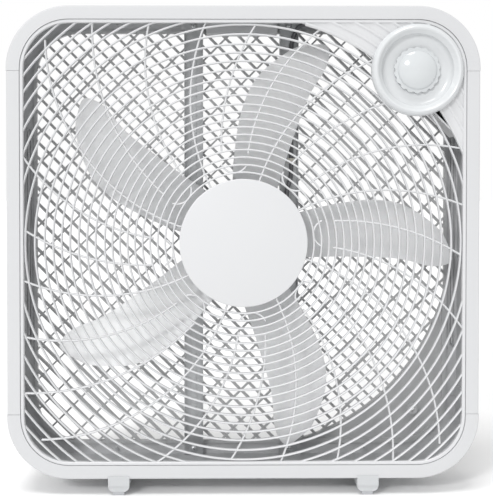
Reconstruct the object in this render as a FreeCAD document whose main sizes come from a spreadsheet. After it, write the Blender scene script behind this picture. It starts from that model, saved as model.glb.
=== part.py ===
import FreeCAD, Part
import math
import os
import Sketcher

# Box fan of the 20 inch class, in millimetres, built as a parametric document.
# Row frame: +X right, the air blows out of the front towards -Y, +Z up, origin at the
# middle of the footprint on the surface that the feet stand on.
# Each piece is drawn in a frame of its own: x to the right and z up from the fan's axis,
# and y straight back from the plane of the housing's front lip.

doc = FreeCAD.newDocument("box_fan")
sheet = doc.addObject("Spreadsheet::Sheet", "Sizes")


# ---------------------------------------------------------------- sizes and their formulas

class Size:
    """A number together with the spreadsheet formula that gives it."""

    def __init__(self, number, formula):
        self.number = number
        self.formula = formula

    def joined(self, other, sign, number, swapped=False):
        first, second = (as_size(other), self) if swapped else (self, as_size(other))
        return Size(number, f"({first.formula} {sign} {second.formula})")

    def __add__(self, other):
        return self.joined(other, "+", self.number + float(other))

    def __radd__(self, other):
        return self.joined(other, "+", float(other) + self.number, swapped=True)

    def __sub__(self, other):
        return self.joined(other, "-", self.number - float(other))

    def __rsub__(self, other):
        return self.joined(other, "-", float(other) - self.number, swapped=True)

    def __mul__(self, other):
        return self.joined(other, "*", self.number * float(other))

    def __rmul__(self, other):
        return self.joined(other, "*", float(other) * self.number, swapped=True)

    def __truediv__(self, other):
        return self.joined(other, "/", self.number / float(other))

    def __neg__(self):
        return Size(-self.number, f"(0 - {self.formula})")

    def __float__(self):
        return float(self.number)


def as_size(value):
    return value if isinstance(value, Size) else Size(float(value), f"({float(value)})")


def least(first, second):
    return Size(min(float(first), float(second)), f"min({first.formula}; {second.formula})")


def most(first, second):
    return Size(max(float(first), float(second)), f"max({first.formula}; {second.formula})")


def root(value):
    return Size(math.sqrt(float(value)), f"sqrt({value.formula})")


def polar(radius, degrees):
    """The x and z of a point at a radius and an angle, anticlockwise from +x seen from the front."""
    radius = as_size(radius)
    degrees = as_size(degrees)
    turn = math.radians(float(degrees))
    across = Size(float(radius) * math.cos(turn), f"({radius.formula} * cos({degrees.formula}))")
    up = Size(float(radius) * math.sin(turn), f"({radius.formula} * sin({degrees.formula}))")
    return across, up


given_names = []


def given(name, number):
    """Puts one driving size in the next row of the sheet."""
    given_names.append(name)
    row = len(given_names)
    sheet.set(f"A{row}", name)
    sheet.set(f"B{row}", str(number))
    sheet.setAlias(f"B{row}", name)
    return Size(float(number), f"Sizes.{name}")


# Housing
frame_width = given("frame_width", 530)
frame_height = given("frame_height", 530)
frame_depth = given("frame_depth", 108)
corner_radius = given("corner_radius", 70)
wall = given("wall", 2.5)
lip_width = given("lip_width", 15)
lip_thickness = given("lip_thickness", 2.5)
seam_drop = given("seam_drop", 72.5)
panel_inset = given("panel_inset", 0.45)
edge_round = given("edge_round", 1.6)
seam_gap = given("seam_gap", 0.25)
tongue_length = given("tongue_length", 14)
tongue_thickness = given("tongue_thickness", 2)
tongue_margin = given("tongue_margin", 10)
lug_length = given("lug_length", 14)
lug_depth = given("lug_depth", 3)
lug_reach = given("lug_reach", 4)
lug_place = given("lug_place", 90)
block_inner = given("block_inner", 11)
block_outer = given("block_outer", 15)
joint_shank = given("joint_shank", 3.6)
grille_screw_across = given("grille_screw_across", 150)
grille_screw_up = given("grille_screw_up", 130)
grille_screw_inset = given("grille_screw_inset", 8.8)
play = given("play", 0.2)
handle_half = given("handle_half", 42)
handle_setback = given("handle_setback", 12.5)
handle_opening = given("handle_opening", 28)
handle_depth = given("handle_depth", 23)
handle_flange = given("handle_flange", 1.2)
handle_land = given("handle_land", 3.5)
screw_sink = given("screw_sink", 1.3)

# Feet
foot_place = given("foot_place", 140)
foot_width = given("foot_width", 23.8)
foot_height = given("foot_height", 14.5)
foot_round = given("foot_round", 6.5)
foot_tab = given("foot_tab", 3.4)
tab_thickness = given("tab_thickness", 1)
pad_width = given("pad_width", 12.4)
pad_drop = given("pad_drop", 4.3)
pad_sink = given("pad_sink", 2)
pad_length = given("pad_length", 34)
pad_margin = given("pad_margin", 3)
foot_screw_pitch = given("foot_screw_pitch", 18)

# Grilles
rim_width = given("rim_width", 3.7)
rim_setback = given("rim_setback", 0.8)
rim_gap = given("rim_gap", 0.3)
wire_front = given("wire_front", 2.4)
wire_back = given("wire_back", 8.2)
wire_width = given("wire_width", 2)
rib_front = given("rib_front", 3.2)
rib_width = given("rib_width", 2.2)
disc_radius = given("disc_radius", 71.9)
disc_front = given("disc_front", 1.2)
disc_thickness = given("disc_thickness", 2.4)
inner_ring = given("inner_ring", 79.3)
inner_pitch = given("inner_pitch", 8.46)
middle_ring = given("middle_ring", 165.8)
middle_pitch = given("middle_pitch", 9.47)
outer_ring = given("outer_ring", 233.6)
outer_pitch = given("outer_pitch", 10.82)
rib_repeats = given("rib_repeats", 8)
panel_across = given("panel_across", 177)
panel_up = given("panel_up", 143.8)
panel_back = given("panel_back", 5.5)
panel_step_angle = given("panel_step_angle", 36)
lattice_setback = given("lattice_setback", 8)
lattice_depth = given("lattice_depth", 6)
slat_pitch = given("slat_pitch", 13.08)
slat_width = given("slat_width", 3)
cross_pitch = given("cross_pitch", 26.16)
cross_width = given("cross_width", 2)
back_disc_radius = given("back_disc_radius", 55)
back_skin = given("back_skin", 2)
corner_plate_radius = given("corner_plate_radius", 254)

# Control dish, knob, switch and what its cover holds
dish_from_side = given("dish_from_side", 70.8)
dish_from_top = given("dish_from_top", 71.5)
dish_radius = given("dish_radius", 51.6)
dish_proud = given("dish_proud", 8)
crest_radius = given("crest_radius", 47)
bowl_radius = given("bowl_radius", 40.5)
bowl_floor = given("bowl_floor", 5)
bowl_wall = given("bowl_wall", 2.5)
knob_radius = given("knob_radius", 26)
knob_dome_radius = given("knob_dome_radius", 22)
knob_lift = given("knob_lift", 0.7)
knob_flutes = given("knob_flutes", 18)
switch_width = given("switch_width", 22)
switch_depth = given("switch_depth", 16.5)
neck_radius = given("neck_radius", 5)
switch_shaft_radius = given("switch_shaft_radius", 3)
cover_depth = given("cover_depth", 40)
cover_wall = given("cover_wall", 1.8)
cover_reach = given("cover_reach", 74)
blade_room = given("blade_room", 5)
bowl_past_wall = given("bowl_past_wall", 20.2)

# Struts, motor and blade
strut_gap = given("strut_gap", 2.75)
strut_width = given("strut_width", 22.5)
strut_flange = given("strut_flange", 8.8)
sheet_metal = given("sheet_metal", 1.2)
strut_setback = given("strut_setback", 4)
bead_height = given("bead_height", 0.8)
motor_radius = given("motor_radius", 43)
stack_setback = given("stack_setback", 33)
stack_length = given("stack_length", 20)
rotor_radius = given("rotor_radius", 24)
air_gap = given("air_gap", 0.4)
shaft_radius = given("shaft_radius", 4)
running_gap = given("running_gap", 0.03)
tip_clearance = given("tip_clearance", 13.5)
hub_gap = given("hub_gap", 9)
hub_length = given("hub_length", 37)
hub_overlap = given("hub_overlap", 1)
blade_setback = given("blade_setback", 23)
blade_thickness = given("blade_thickness", 2.2)
blade_count = given("blade_count", 5)
lead_radius = given("lead_radius", 2.5)
inlet_radius = given("inlet_radius", 3.6)

# Worked out from the sizes above
half_width = frame_width / 2
half_height = frame_height / 2
foot_drop = foot_height + pad_drop
axis_height = foot_drop + half_height
front_plane = (dish_proud - frame_depth) / 2
seam_height = half_height - seam_drop
handle_back = frame_depth - handle_setback
handle_front = handle_back - handle_opening
lattice_front = frame_depth - lattice_setback
strut_back = lattice_front - strut_setback
strut_place = motor_radius + strut_width / 2 + strut_gap
stack_front = strut_back - stack_setback
hub_radius = motor_radius + hub_gap
hub_back = stack_front + hub_overlap
hub_front = hub_back - hub_length
blade_middle = hub_front + blade_setback
inside_width = half_width - wall
inside_height = half_height - wall
mouth_width = half_width - lip_width
mouth_height = half_height - lip_width
mouth_radius = corner_radius - lip_width
rear_lip_front = frame_depth - 2 * lip_thickness
rear_lip_back = frame_depth - lip_thickness
rim_out_width = mouth_width - rim_gap
rim_out_height = mouth_height - rim_gap
rim_out_radius = mouth_radius - rim_gap
opening_width = rim_out_width - rim_width
opening_height = rim_out_height - rim_width
opening_radius = rim_out_radius - rim_width
dish_across = half_width - dish_from_side
dish_up = half_height - dish_from_top
boss_height = inside_height - rim_out_height - play
tip_radius = least(half_width, half_height) - wall - tip_clearance
strut_front = strut_back - sheet_metal
strut_screw_height = half_height - 10.2
JOINT_SCREW_PLACES = (30, 78)


# ---------------------------------------------------------------- drawing helpers

def bind(thing, name, value):
    thing.setExpression(name, as_size(value).formula)


def new_body(label, across=0.0, up=0.0):
    """An empty piece whose own origin lies on the housing's front plane."""
    body = doc.addObject("PartDesign::Body", label)
    body.Label = label
    bind(body, "Placement.Base.x", across)
    bind(body, "Placement.Base.y", front_plane)
    bind(body, "Placement.Base.z", axis_height + up)
    return body


def sketch_on(body, name, plane, offset):
    flat = [item for item in body.Origin.OriginFeatures if item.Role == plane][0]
    sketch = body.newObject("Sketcher::SketchObject", name)
    sketch.AttachmentSupport = (flat, [""])
    sketch.MapMode = "FlatFace"
    bind(sketch, "AttachmentOffset.Base.z", offset)
    return sketch


def constrain(sketch, value, kind, *where):
    index = sketch.addConstraint(Sketcher.Constraint(kind, *where, float(value)))
    bind(sketch, f"Constraints[{index}]", value)


def locate(sketch, edge, end, point):
    constrain(sketch, point[0], "DistanceX", -1, 1, edge, end)
    constrain(sketch, point[1], "DistanceY", -1, 1, edge, end)


def arc_between(start, end, bend):
    """The short arc from start to end; a positive radius keeps its centre on the left."""
    chord = end - start
    radius = abs(bend)
    height = math.sqrt(max(radius ** 2 - chord.Length ** 2 / 4, 0))
    left = FreeCAD.Vector(-chord.y, chord.x, 0) / chord.Length
    centre = (start + end) / 2 + left * math.copysign(height, bend)
    first, last = (start, end) if bend > 0 else (end, start)
    turns = [math.atan2(point.y - centre.y, point.x - centre.x) for point in (first, last)]
    circle = Part.Circle(centre, FreeCAD.Vector(0, 0, 1), radius)
    return Part.ArcOfCircle(circle, turns[0], turns[1])


def draw_outline(sketch, corners):
    """Closes an outline. A corner's third value is the radius of the edge that leaves it."""
    points = [FreeCAD.Vector(float(corner[0]), float(corner[1]), 0) for corner in corners]
    edges = []
    for index, corner in enumerate(corners):
        start = points[index]
        end = points[(index + 1) % len(points)]
        bend = corner[2] if len(corner) == 3 else None
        if bend is None:
            edges.append((sketch.addGeometry(Part.LineSegment(start, end)), 1, 2))
        else:
            edge = sketch.addGeometry(arc_between(start, end, float(bend)))
            constrain(sketch, bend if float(bend) > 0 else -as_size(bend), "Radius", edge)
            edges.append((edge, 1, 2) if float(bend) > 0 else (edge, 2, 1))
    for index, corner in enumerate(corners):
        edge, start, end = edges[index]
        following = edges[(index + 1) % len(edges)]
        sketch.addConstraint(Sketcher.Constraint("Coincident", edge, end, following[0], following[1]))
        locate(sketch, edge, start, corner)


def draw_circle(sketch, radius, across=0.0, up=0.0):
    centre = FreeCAD.Vector(float(across), float(up), 0)
    edge = sketch.addGeometry(Part.Circle(centre, FreeCAD.Vector(0, 0, 1), float(radius)))
    constrain(sketch, radius, "Radius", edge)
    locate(sketch, edge, 3, (across, up))


def circle(radius, across=0.0, up=0.0):
    return {"radius": radius, "across": across, "up": up}


def shaped(body, kind, name, plane, start, length, shapes):
    """A pad or pocket of some shapes, from a plane forwards, to the right or upwards."""
    offset = -as_size(start) if plane == "XZ_Plane" else start
    sketch = sketch_on(body, f"{body.Name}_{name}_sketch", plane, offset)
    for shape in shapes:
        if isinstance(shape, dict):
            draw_circle(sketch, **shape)
        else:
            draw_outline(sketch, shape)
    feature = body.newObject(f"PartDesign::{kind}", f"{body.Name}_{name}")
    feature.Profile = sketch
    feature.Reversed = kind == "Pocket"
    bind(feature, "Length", length)
    return feature


def pad(body, name, start, length, *shapes, plane="XZ_Plane"):
    return shaped(body, "Pad", name, plane, start, length, shapes)


def pocket(body, name, start, length, *shapes, plane="XZ_Plane"):
    return shaped(body, "Pocket", name, plane, start, length, shapes)


def turned(body, name, corners):
    """Turns an outline of radius and depth about the piece's own front-to-back axis."""
    sketch = sketch_on(body, f"{body.Name}_{name}_sketch", "XY_Plane", 0.0)
    draw_outline(sketch, corners)
    feature = body.newObject("PartDesign::Revolution", f"{body.Name}_{name}")
    feature.Profile = sketch
    feature.ReferenceAxis = (sketch, ["V_Axis"])
    feature.Angle = 360
    return feature


def around(body, name, originals, count):
    """Repeats features around the piece's front-to-back axis."""
    feature = body.newObject("PartDesign::PolarPattern", f"{body.Name}_{name}")
    feature.Originals = originals
    feature.Axis = (originals[0].Profile[0], ["N_Axis"])
    feature.Angle = 360
    bind(feature, "Occurrences", count)
    body.Tip = feature
    return feature


def rounded_edges(body, name, wanted, radius):
    """Rounds the edges of the piece so far that pass the test."""
    doc.recompute()
    tip = body.Tip
    names = [f"Edge{index + 1}" for index, edge in enumerate(tip.Shape.Edges) if wanted(edge)]
    feature = body.newObject("PartDesign::Fillet", f"{body.Name}_{name}")
    feature.Base = (tip, names)
    bind(feature, "Radius", radius)
    return feature


def rectangle(left, right, low, high):
    return [(left, low), (right, low), (right, high), (left, high)]


def centred(across, up, width, height):
    return rectangle(across - width / 2, across + width / 2, up - height / 2, up + height / 2)


def rounded(width, height, radius):
    """A rectangle of half width and half height with round corners."""
    return [
        (radius - width, -height), (width - radius, -height, radius),
        (width, radius - height), (width, height - radius, radius),
        (width - radius, height), (radius - width, height, radius),
        (-width, height - radius), (-width, radius - height, radius),
    ]


def arch(width, height, radius, foot, side):
    """The end of the housing beyond a seam, with two round corners; side -1 turns it over."""
    corners = [
        (width, foot), (width, height - radius, radius), (width - radius, height),
        (radius - width, height, radius), (-width, height - radius), (-width, foot),
    ]
    return [(corner[0], side * corner[1], *[side * bend for bend in corner[2:]]) for corner in corners]


def band(radius, width, from_angle, to_angle, across, up):
    """A curved strip of a given width along an arc about a centre."""
    def point(distance, angle):
        step_x, step_z = polar(distance, angle)
        return across + step_x, up + step_z

    outside = radius + width / 2
    inside = radius - width / 2
    return [
        (*point(outside, from_angle), outside), point(outside, to_angle),
        (*point(inside, to_angle), -inside), point(inside, from_angle),
    ]


def both(value):
    return (-value, value)


def nut_outline(width, across=0.0, up=0.0):
    """A hexagon with a given width across its flats."""
    corners = []
    for turn in range(6):
        step_x, step_z = polar(width / math.sqrt(3), 60 * turn + 30)
        corners.append((across + step_x, up + step_z))
    return corners


# ---------------------------------------------------------------- housing

def on_outer_rim(edge):
    """True on the housing's outer edges at its front and back faces."""
    box = edge.BoundBox
    flat = box.YLength < 0.01 and min(abs(box.YMin), abs(box.YMin - float(frame_depth))) < 0.01
    wide = max(abs(box.XMin), abs(box.XMax)) > float(half_width - panel_inset) - 0.01
    tall = max(abs(box.ZMin), abs(box.ZMax)) > float(half_height) - 0.01
    return flat and (wide or tall)


def lug_rows(side, spots):
    """Small lugs behind the front lip that trap the front grille's flange."""
    low = side * inside_height
    high = side * (inside_height - lug_reach)
    return [rectangle(spot - lug_length / 2, spot + lug_length / 2, low, high) for spot in spots]


def cap(label, side):
    body = new_body(label)
    foot = seam_height
    pad(body, "shell", frame_depth, frame_depth, arch(half_width, half_height, corner_radius, foot, side))
    rounded_edges(body, "soft_edges", lambda edge: on_outer_rim(edge) and not on_seam(edge), edge_round)
    inside = arch(inside_width, inside_height, corner_radius - wall, foot, side)
    pocket(body, "cavity", rear_lip_front, rear_lip_front - lip_thickness, inside)
    pocket(body, "recess", frame_depth, lip_thickness, inside)
    pocket(body, "mouth", frame_depth + 1, frame_depth + 2,
           arch(mouth_width, mouth_height, mouth_radius, foot, side))
    tongues(body, side)
    block = [rectangle(hand * (strut_place - block_inner), hand * (strut_place + block_outer),
                       side * (inside_height - boss_height), side * inside_height)
             for hand in (-1, 1)]
    pad(body, "strut_blocks", rear_lip_front, rear_lip_front - strut_back, *block)
    pad(body, "lugs", panel_back + lug_depth, lug_depth, *lug_rows(side, both(lug_place)))
    pocket(body, "strut_pilots", rear_lip_front - 0.6, rear_lip_front - strut_back + 1,
           *[circle(1.95, spot, side * strut_screw_height) for spot in both(strut_place)])
    pocket(body, "grille_pilots", rear_lip_back + 1, lip_thickness + 2,
           *[circle(1.55, spot, side * (half_height - grille_screw_inset))
             for spot in both(grille_screw_across)])
    return body


def on_seam(edge):
    """True on an edge that lies in one of the planes where the caps meet the side panels."""
    box = edge.BoundBox
    return box.ZLength < 0.01 and abs(abs(box.ZMin) - float(seam_height)) < 0.01


def tongues(body, side):
    """Tongues on a cap's two legs that slide inside the side panels and take their screws."""
    length = frame_depth - 2 * tongue_margin
    outer = inside_width - panel_inset - play
    inner = outer - tongue_thickness
    tip = seam_height - tongue_length
    heel = seam_height + tongue_length
    strips = []
    for hand in (-1, 1):
        profile = [(hand * inner, side * tip), (hand * outer, side * tip), (hand * outer, side * seam_height),
                   (hand * inside_width, side * seam_height), (hand * inside_width, side * heel),
                   (hand * inner, side * heel)]
        strips.append(profile)
    pad(body, "tongues", frame_depth - tongue_margin, length, *strips)
    height = side * (seam_height - tongue_length / 2)
    pocket(body, "tongue_holes", -half_width - 1, frame_width + 2,
           *[circle(1.55, spot, height) for spot in JOINT_SCREW_PLACES], plane="YZ_Plane")


def top_cap():
    body = cap("top_cap", 1)
    left, right = both(handle_half)
    pocket(body, "handle_rebate", inside_height + wall - handle_flange, 2 * handle_flange,
           rectangle(left - handle_land - play, right + handle_land + play,
                     handle_front - handle_land - play, handle_back + handle_land + play),
           plane="XY_Plane")
    pocket(body, "handle_slot", inside_height - 1, wall + 2,
           rectangle(left - play, right + play, handle_front - play, handle_back + play),
           plane="XY_Plane")


def bottom_cap():
    body = cap("bottom_cap", -1)
    spots = [frame_depth / 2 + offset for offset in both(foot_screw_pitch / 2)]
    pocket(body, "foot_pilots", -half_height - 1, wall + 2,
           *[circle(1.55, across, spot) for across in both(foot_place) for spot in spots],
           plane="XY_Plane")


def side_panel(label, hand):
    """A straight moulded channel between the two caps, a hair inside their outline."""
    body = new_body(label)
    outer = half_width - panel_inset
    inner = outer - wall
    profile = [(outer, 0.0), (outer, frame_depth), (inner, frame_depth), (inner, rear_lip_back),
               (mouth_width, rear_lip_back), (mouth_width, rear_lip_front), (inner, rear_lip_front),
               (inner, lip_thickness), (mouth_width, lip_thickness), (mouth_width, 0.0)]
    length = 2 * (seam_height - seam_gap)
    pad(body, "channel", seam_gap - seam_height, length,
        [(hand * corner[0], corner[1]) for corner in profile], plane="XY_Plane")
    rounded_edges(body, "soft_edges",
                  lambda edge: on_outer_rim(edge) and edge.BoundBox.ZLength > float(seam_height), edge_round)
    lug_in = inner - lug_reach
    pad(body, "lugs", panel_back + lug_depth, lug_depth,
        *[rectangle(hand * lug_in, hand * inner, spot - lug_length / 2, spot + lug_length / 2)
          for spot in both(lug_place)])
    start = outer - wall - 1 if hand > 0 else -outer - 1
    sink = outer - screw_sink if hand > 0 else -outer - 1
    spots = [(place, side * (seam_height - tongue_length / 2))
             for place in JOINT_SCREW_PLACES for side in (-1, 1)]
    pocket(body, "screw_holes", start, wall + 2, *[circle(1.8, *spot) for spot in spots], plane="YZ_Plane")
    pocket(body, "screw_sinks", sink, screw_sink + 1, *[circle(3.4, *spot) for spot in spots],
           plane="YZ_Plane")
    pocket(body, "grille_pilots", rear_lip_back + 1, lip_thickness + 2,
           *[circle(1.55, hand * (half_width - grille_screw_inset), spot) for spot in both(grille_screw_up)])


def carry_handle():
    """A tub let into the top wall, with a lip at its front that the fingers curl under."""
    body = new_body("carry_handle", up=half_height)
    left, right = both(handle_half)
    skin = as_size(2)
    pad(body, "tub", -handle_depth, handle_depth, rectangle(left, right, handle_front, handle_back),
        plane="XY_Plane")
    pad(body, "flange", -handle_flange, handle_flange,
        rectangle(left - handle_land, right + handle_land, handle_front - handle_land,
                  handle_back + handle_land), plane="XY_Plane")
    pocket(body, "hollow", skin - handle_depth, handle_depth - skin - 3,
           rectangle(left + skin, right - skin, handle_front + skin, handle_back - skin),
           plane="XY_Plane")
    pocket(body, "slot", -4.0, 5.0,
           rectangle(left + skin, right - skin, handle_front + 9, handle_back - skin),
           plane="XY_Plane")


def foot(label, across):
    body = new_body(label, across=across, up=-half_height)
    half = foot_width / 2
    middle = half - foot_round
    pad(body, "bar", frame_depth, frame_depth,
        [(half, 0.0), (-half, 0.0), (-half, foot_round - foot_height, foot_round),
         (-middle, -foot_height), (middle, -foot_height, foot_round), (half, foot_round - foot_height)])
    pad(body, "tab", 0.0, tab_thickness, rectangle(-half, half, foot_round - foot_height, foot_tab))
    for name, start in (("front_seat", pad_margin), ("rear_seat", frame_depth - pad_margin - pad_length)):
        pocket(body, name, start + pad_length, pad_length,
               rectangle(-pad_width / 2, pad_width / 2, -foot_height - 1, pad_sink - foot_height))
    spots = [frame_depth / 2 + offset for offset in both(foot_screw_pitch / 2)]
    pocket(body, "screw_holes", -foot_height - 1, foot_height + 2,
           *[circle(2.0, 0.0, spot) for spot in spots], plane="XY_Plane")
    pocket(body, "screw_sinks", -foot_height - 1, foot_height - 3,
           *[circle(4.0, 0.0, spot) for spot in spots], plane="XY_Plane")


def foot_pads():
    """Four rubber strips pressed into the seats under the feet."""
    body = new_body("foot_pads", up=-half_height)
    thickness = pad_drop + pad_sink
    strips = []
    for across in both(foot_place):
        for middle in (pad_margin + pad_length / 2, frame_depth - pad_margin - pad_length / 2):
            strips.append(centred(across, middle, pad_width, pad_length))
    pad(body, "strips", -foot_drop, thickness, *strips, plane="XY_Plane")


def foot_screws():
    body = new_body("foot_screws", up=-half_height)
    spots = [(across, frame_depth / 2 + offset)
             for across in both(foot_place) for offset in both(foot_screw_pitch / 2)]
    pad(body, "heads", -as_size(6.2), 2.2, *[circle(3.5, *spot) for spot in spots], plane="XY_Plane")
    pad(body, "shanks", -as_size(4), 10.0, *[circle(1.5, *spot) for spot in spots], plane="XY_Plane")


def joint_screws():
    """Eight screws, four a side, from the side panels into the caps' tongues."""
    body = new_body("joint_screws")
    outer = half_width - panel_inset
    spots = [(place, side * (seam_height - tongue_length / 2))
             for place in JOINT_SCREW_PLACES for side in (-1, 1)]
    for name, head, shank in (("right", outer - screw_sink, outer - screw_sink - joint_shank),
                              ("left", screw_sink - outer - 1.2, screw_sink - outer)):
        pad(body, f"{name}_heads", head, 1.2, *[circle(3.2, *spot) for spot in spots], plane="YZ_Plane")
        pad(body, f"{name}_shanks", shank, joint_shank, *[circle(1.5, *spot) for spot in spots],
            plane="YZ_Plane")


# ---------------------------------------------------------------- flat work for the grilles

def spot(across, up, back=0.0):
    return FreeCAD.Vector(float(across), float(back), float(up))


def flat_wire(corners):
    """The closed wire of an outline in the plane of the front."""
    edges = []
    for index, corner in enumerate(corners):
        start = FreeCAD.Vector(float(corner[0]), float(corner[1]), 0)
        after = corners[(index + 1) % len(corners)]
        end = FreeCAD.Vector(float(after[0]), float(after[1]), 0)
        bend = corner[2] if len(corner) == 3 else None
        edge = Part.LineSegment(start, end) if bend is None else arc_between(start, end, float(bend))
        edges.append(edge.toShape())
    wire = Part.Wire(Part.sortEdges(edges)[0])
    wire.rotate(FreeCAD.Vector(), FreeCAD.Vector(1, 0, 0), 90)
    return wire


def flat_face(corners):
    return Part.Face(flat_wire(corners))


def flat_disc(radius, across=0.0, up=0.0):
    ring = Part.Circle(spot(across, up), FreeCAD.Vector(0, -1, 0), float(radius))
    return Part.Face(Part.Wire([ring.toShape()]))


def slab(face, front, back):
    """A flat face made solid between two depths."""
    solid = face.copy()
    solid.translate(spot(0, 0, front))
    return solid.extrude(spot(0, 0, back - front))


def pierced(outline, cells, smallest):
    """The face inside an outline with each cell left open."""
    holes = [cell.OuterWire for cell in cells.Faces if cell.Area > smallest]
    return Part.Face([flat_wire(outline)] + holes, "Part::FaceMakerBullseye")


def new_piece(label, shape, across=0.0, up=0.0):
    """A piece whose shape is worked out from the sheet's sizes."""
    piece = doc.addObject("Part::Feature", label)
    piece.Label = label
    piece.Shape = shape
    bind(piece, "Placement.Base.x", across)
    bind(piece, "Placement.Base.y", front_plane)
    bind(piece, "Placement.Base.z", axis_height + up)
    return piece


# ---------------------------------------------------------------- front grille

def cover_outline(shrink):
    """The corner behind the dish, between the housing's walls and the circle of the blade tips."""
    margin = lug_reach + play + panel_inset + shrink
    out_x = inside_width - margin
    out_z = inside_height - margin
    turn = corner_radius - wall - margin
    low_x = dish_across - cover_reach + shrink
    low_z = dish_up - cover_reach + shrink
    clear_of_blade = tip_radius + blade_room
    across_bowl = (dish_across + dish_up) / math.sqrt(2) - bowl_past_wall
    diagonal = math.sqrt(2) * (most(clear_of_blade, across_bowl) + shrink)
    return [(diagonal - low_z, low_z), (out_x, low_z), (out_x, out_z - turn, turn),
            (out_x - turn, out_z), (low_x, out_z), (low_x, diagonal - low_x)]


def rib_faces():
    """One set of spiral ribs: a lone rib, and a stem that forks into an arch and two legs."""
    arcs = ((224.8, 46.0, 116.5, polar(230.7, -45.8)), (248.3, 38.0, 92.4, polar(249.7, -63.5)),
            (213.4, 20.0, 81.9, polar(227.7, -72.0)), (15.6, 113.0, 247.0, polar(94.8, 6.3)))
    faces = [flat_face(band(as_size(radius), rib_width, start, end, *centre))
             for radius, start, end, centre in arcs]
    return faces + [flat_face([polar(70, 6.6), polar(80, 6.8), polar(80, 8.2), polar(70, 8.4)])]


def ring_radii():
    rings = []
    for first, pitch, count in ((inner_ring, inner_pitch, 10), (middle_ring, middle_pitch, 7),
                                (outer_ring, outer_pitch, 9)):
        rings += [float(first + pitch * step) for step in range(count)]
    return rings


def panel_face():
    """The solid corner of the grille that carries the dish."""
    low_x = opening_width - panel_across
    low_z = opening_height - panel_up
    corner = flat_face([(low_x, low_z), (opening_width + 1, low_z),
                        (opening_width + 1, opening_height + 1), (low_x, opening_height + 1)])
    wedge_x, wedge_z = polar(frame_width, panel_step_angle)
    wedge = flat_face([(0.0, 0.0), (frame_width, 0.0), (wedge_x, wedge_z)])
    step = flat_disc(outer_ring + outer_pitch * 3).common(wedge)
    return corner.cut([flat_disc(outer_ring + outer_pitch * 2), step])


def front_grille():
    half = float(wire_width) / 2
    gaps = []
    inside = float(disc_radius)
    for radius in ring_radii():
        gaps.append(flat_disc(radius - half).cut(flat_disc(inside)))
        inside = radius + half
    ribs = []
    for turn in range(int(float(rib_repeats))):
        for face in rib_faces():
            face.rotate(FreeCAD.Vector(), FreeCAD.Vector(0, -1, 0), 360 * turn / float(rib_repeats))
            ribs.append(face)
    opening = flat_face(rounded(opening_width, opening_height, opening_radius))
    panel = panel_face()
    cells = Part.makeCompound(gaps).cut(ribs + [panel]).common(opening)
    rim = rounded(rim_out_width, rim_out_height, rim_out_radius)
    shape = slab(pierced(rim, cells, 3.0), float(wire_front), float(wire_back))
    behind_panel = slab(panel.common(opening), float(panel_back), float(wire_back) + 1)
    flange_room = panel_inset + play + 0.35
    flange = flat_face(rounded(inside_width - flange_room, inside_height - flange_room,
                               corner_radius - wall - flange_room))
    collar = flat_face(rim).cut(opening)
    flange_back = panel_back - 0.4
    shape = shape.cut(behind_panel).fuse([
        slab(collar, float(rim_setback), float(wire_back)),
        slab(flange.cut(opening), float(lip_thickness + play), float(flange_back)),
        slab(flat_disc(disc_radius), float(disc_front), float(wire_front) + 1),
    ])
    hollow = slab(flat_disc(disc_radius - 2.5), float(disc_front + disc_thickness), float(wire_back) + 1)
    bowl = slab(flat_disc(bowl_radius + bowl_wall + 1, dish_across, dish_up), 0.0, float(wire_back) + 1)
    seat = slab(flat_disc(dish_radius + play, dish_across, dish_up), 0.0, float(rib_front))
    screws = [slab(flat_disc(1.7, dish_across + step_x, dish_up + step_z), 0.0, float(wire_back))
              for step_x, step_z in dish_screw_places()]
    cover = slab(flat_face(cover_outline(-play)), float(panel_back), float(wire_back) + 1)
    new_piece("front_grille", shape.cut([hollow, bowl, seat, cover] + screws))


def dish_screw_places():
    return [polar(crest_radius, turn) for turn in (-30, 45, 120)]


# ---------------------------------------------------------------- rear grille

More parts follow.
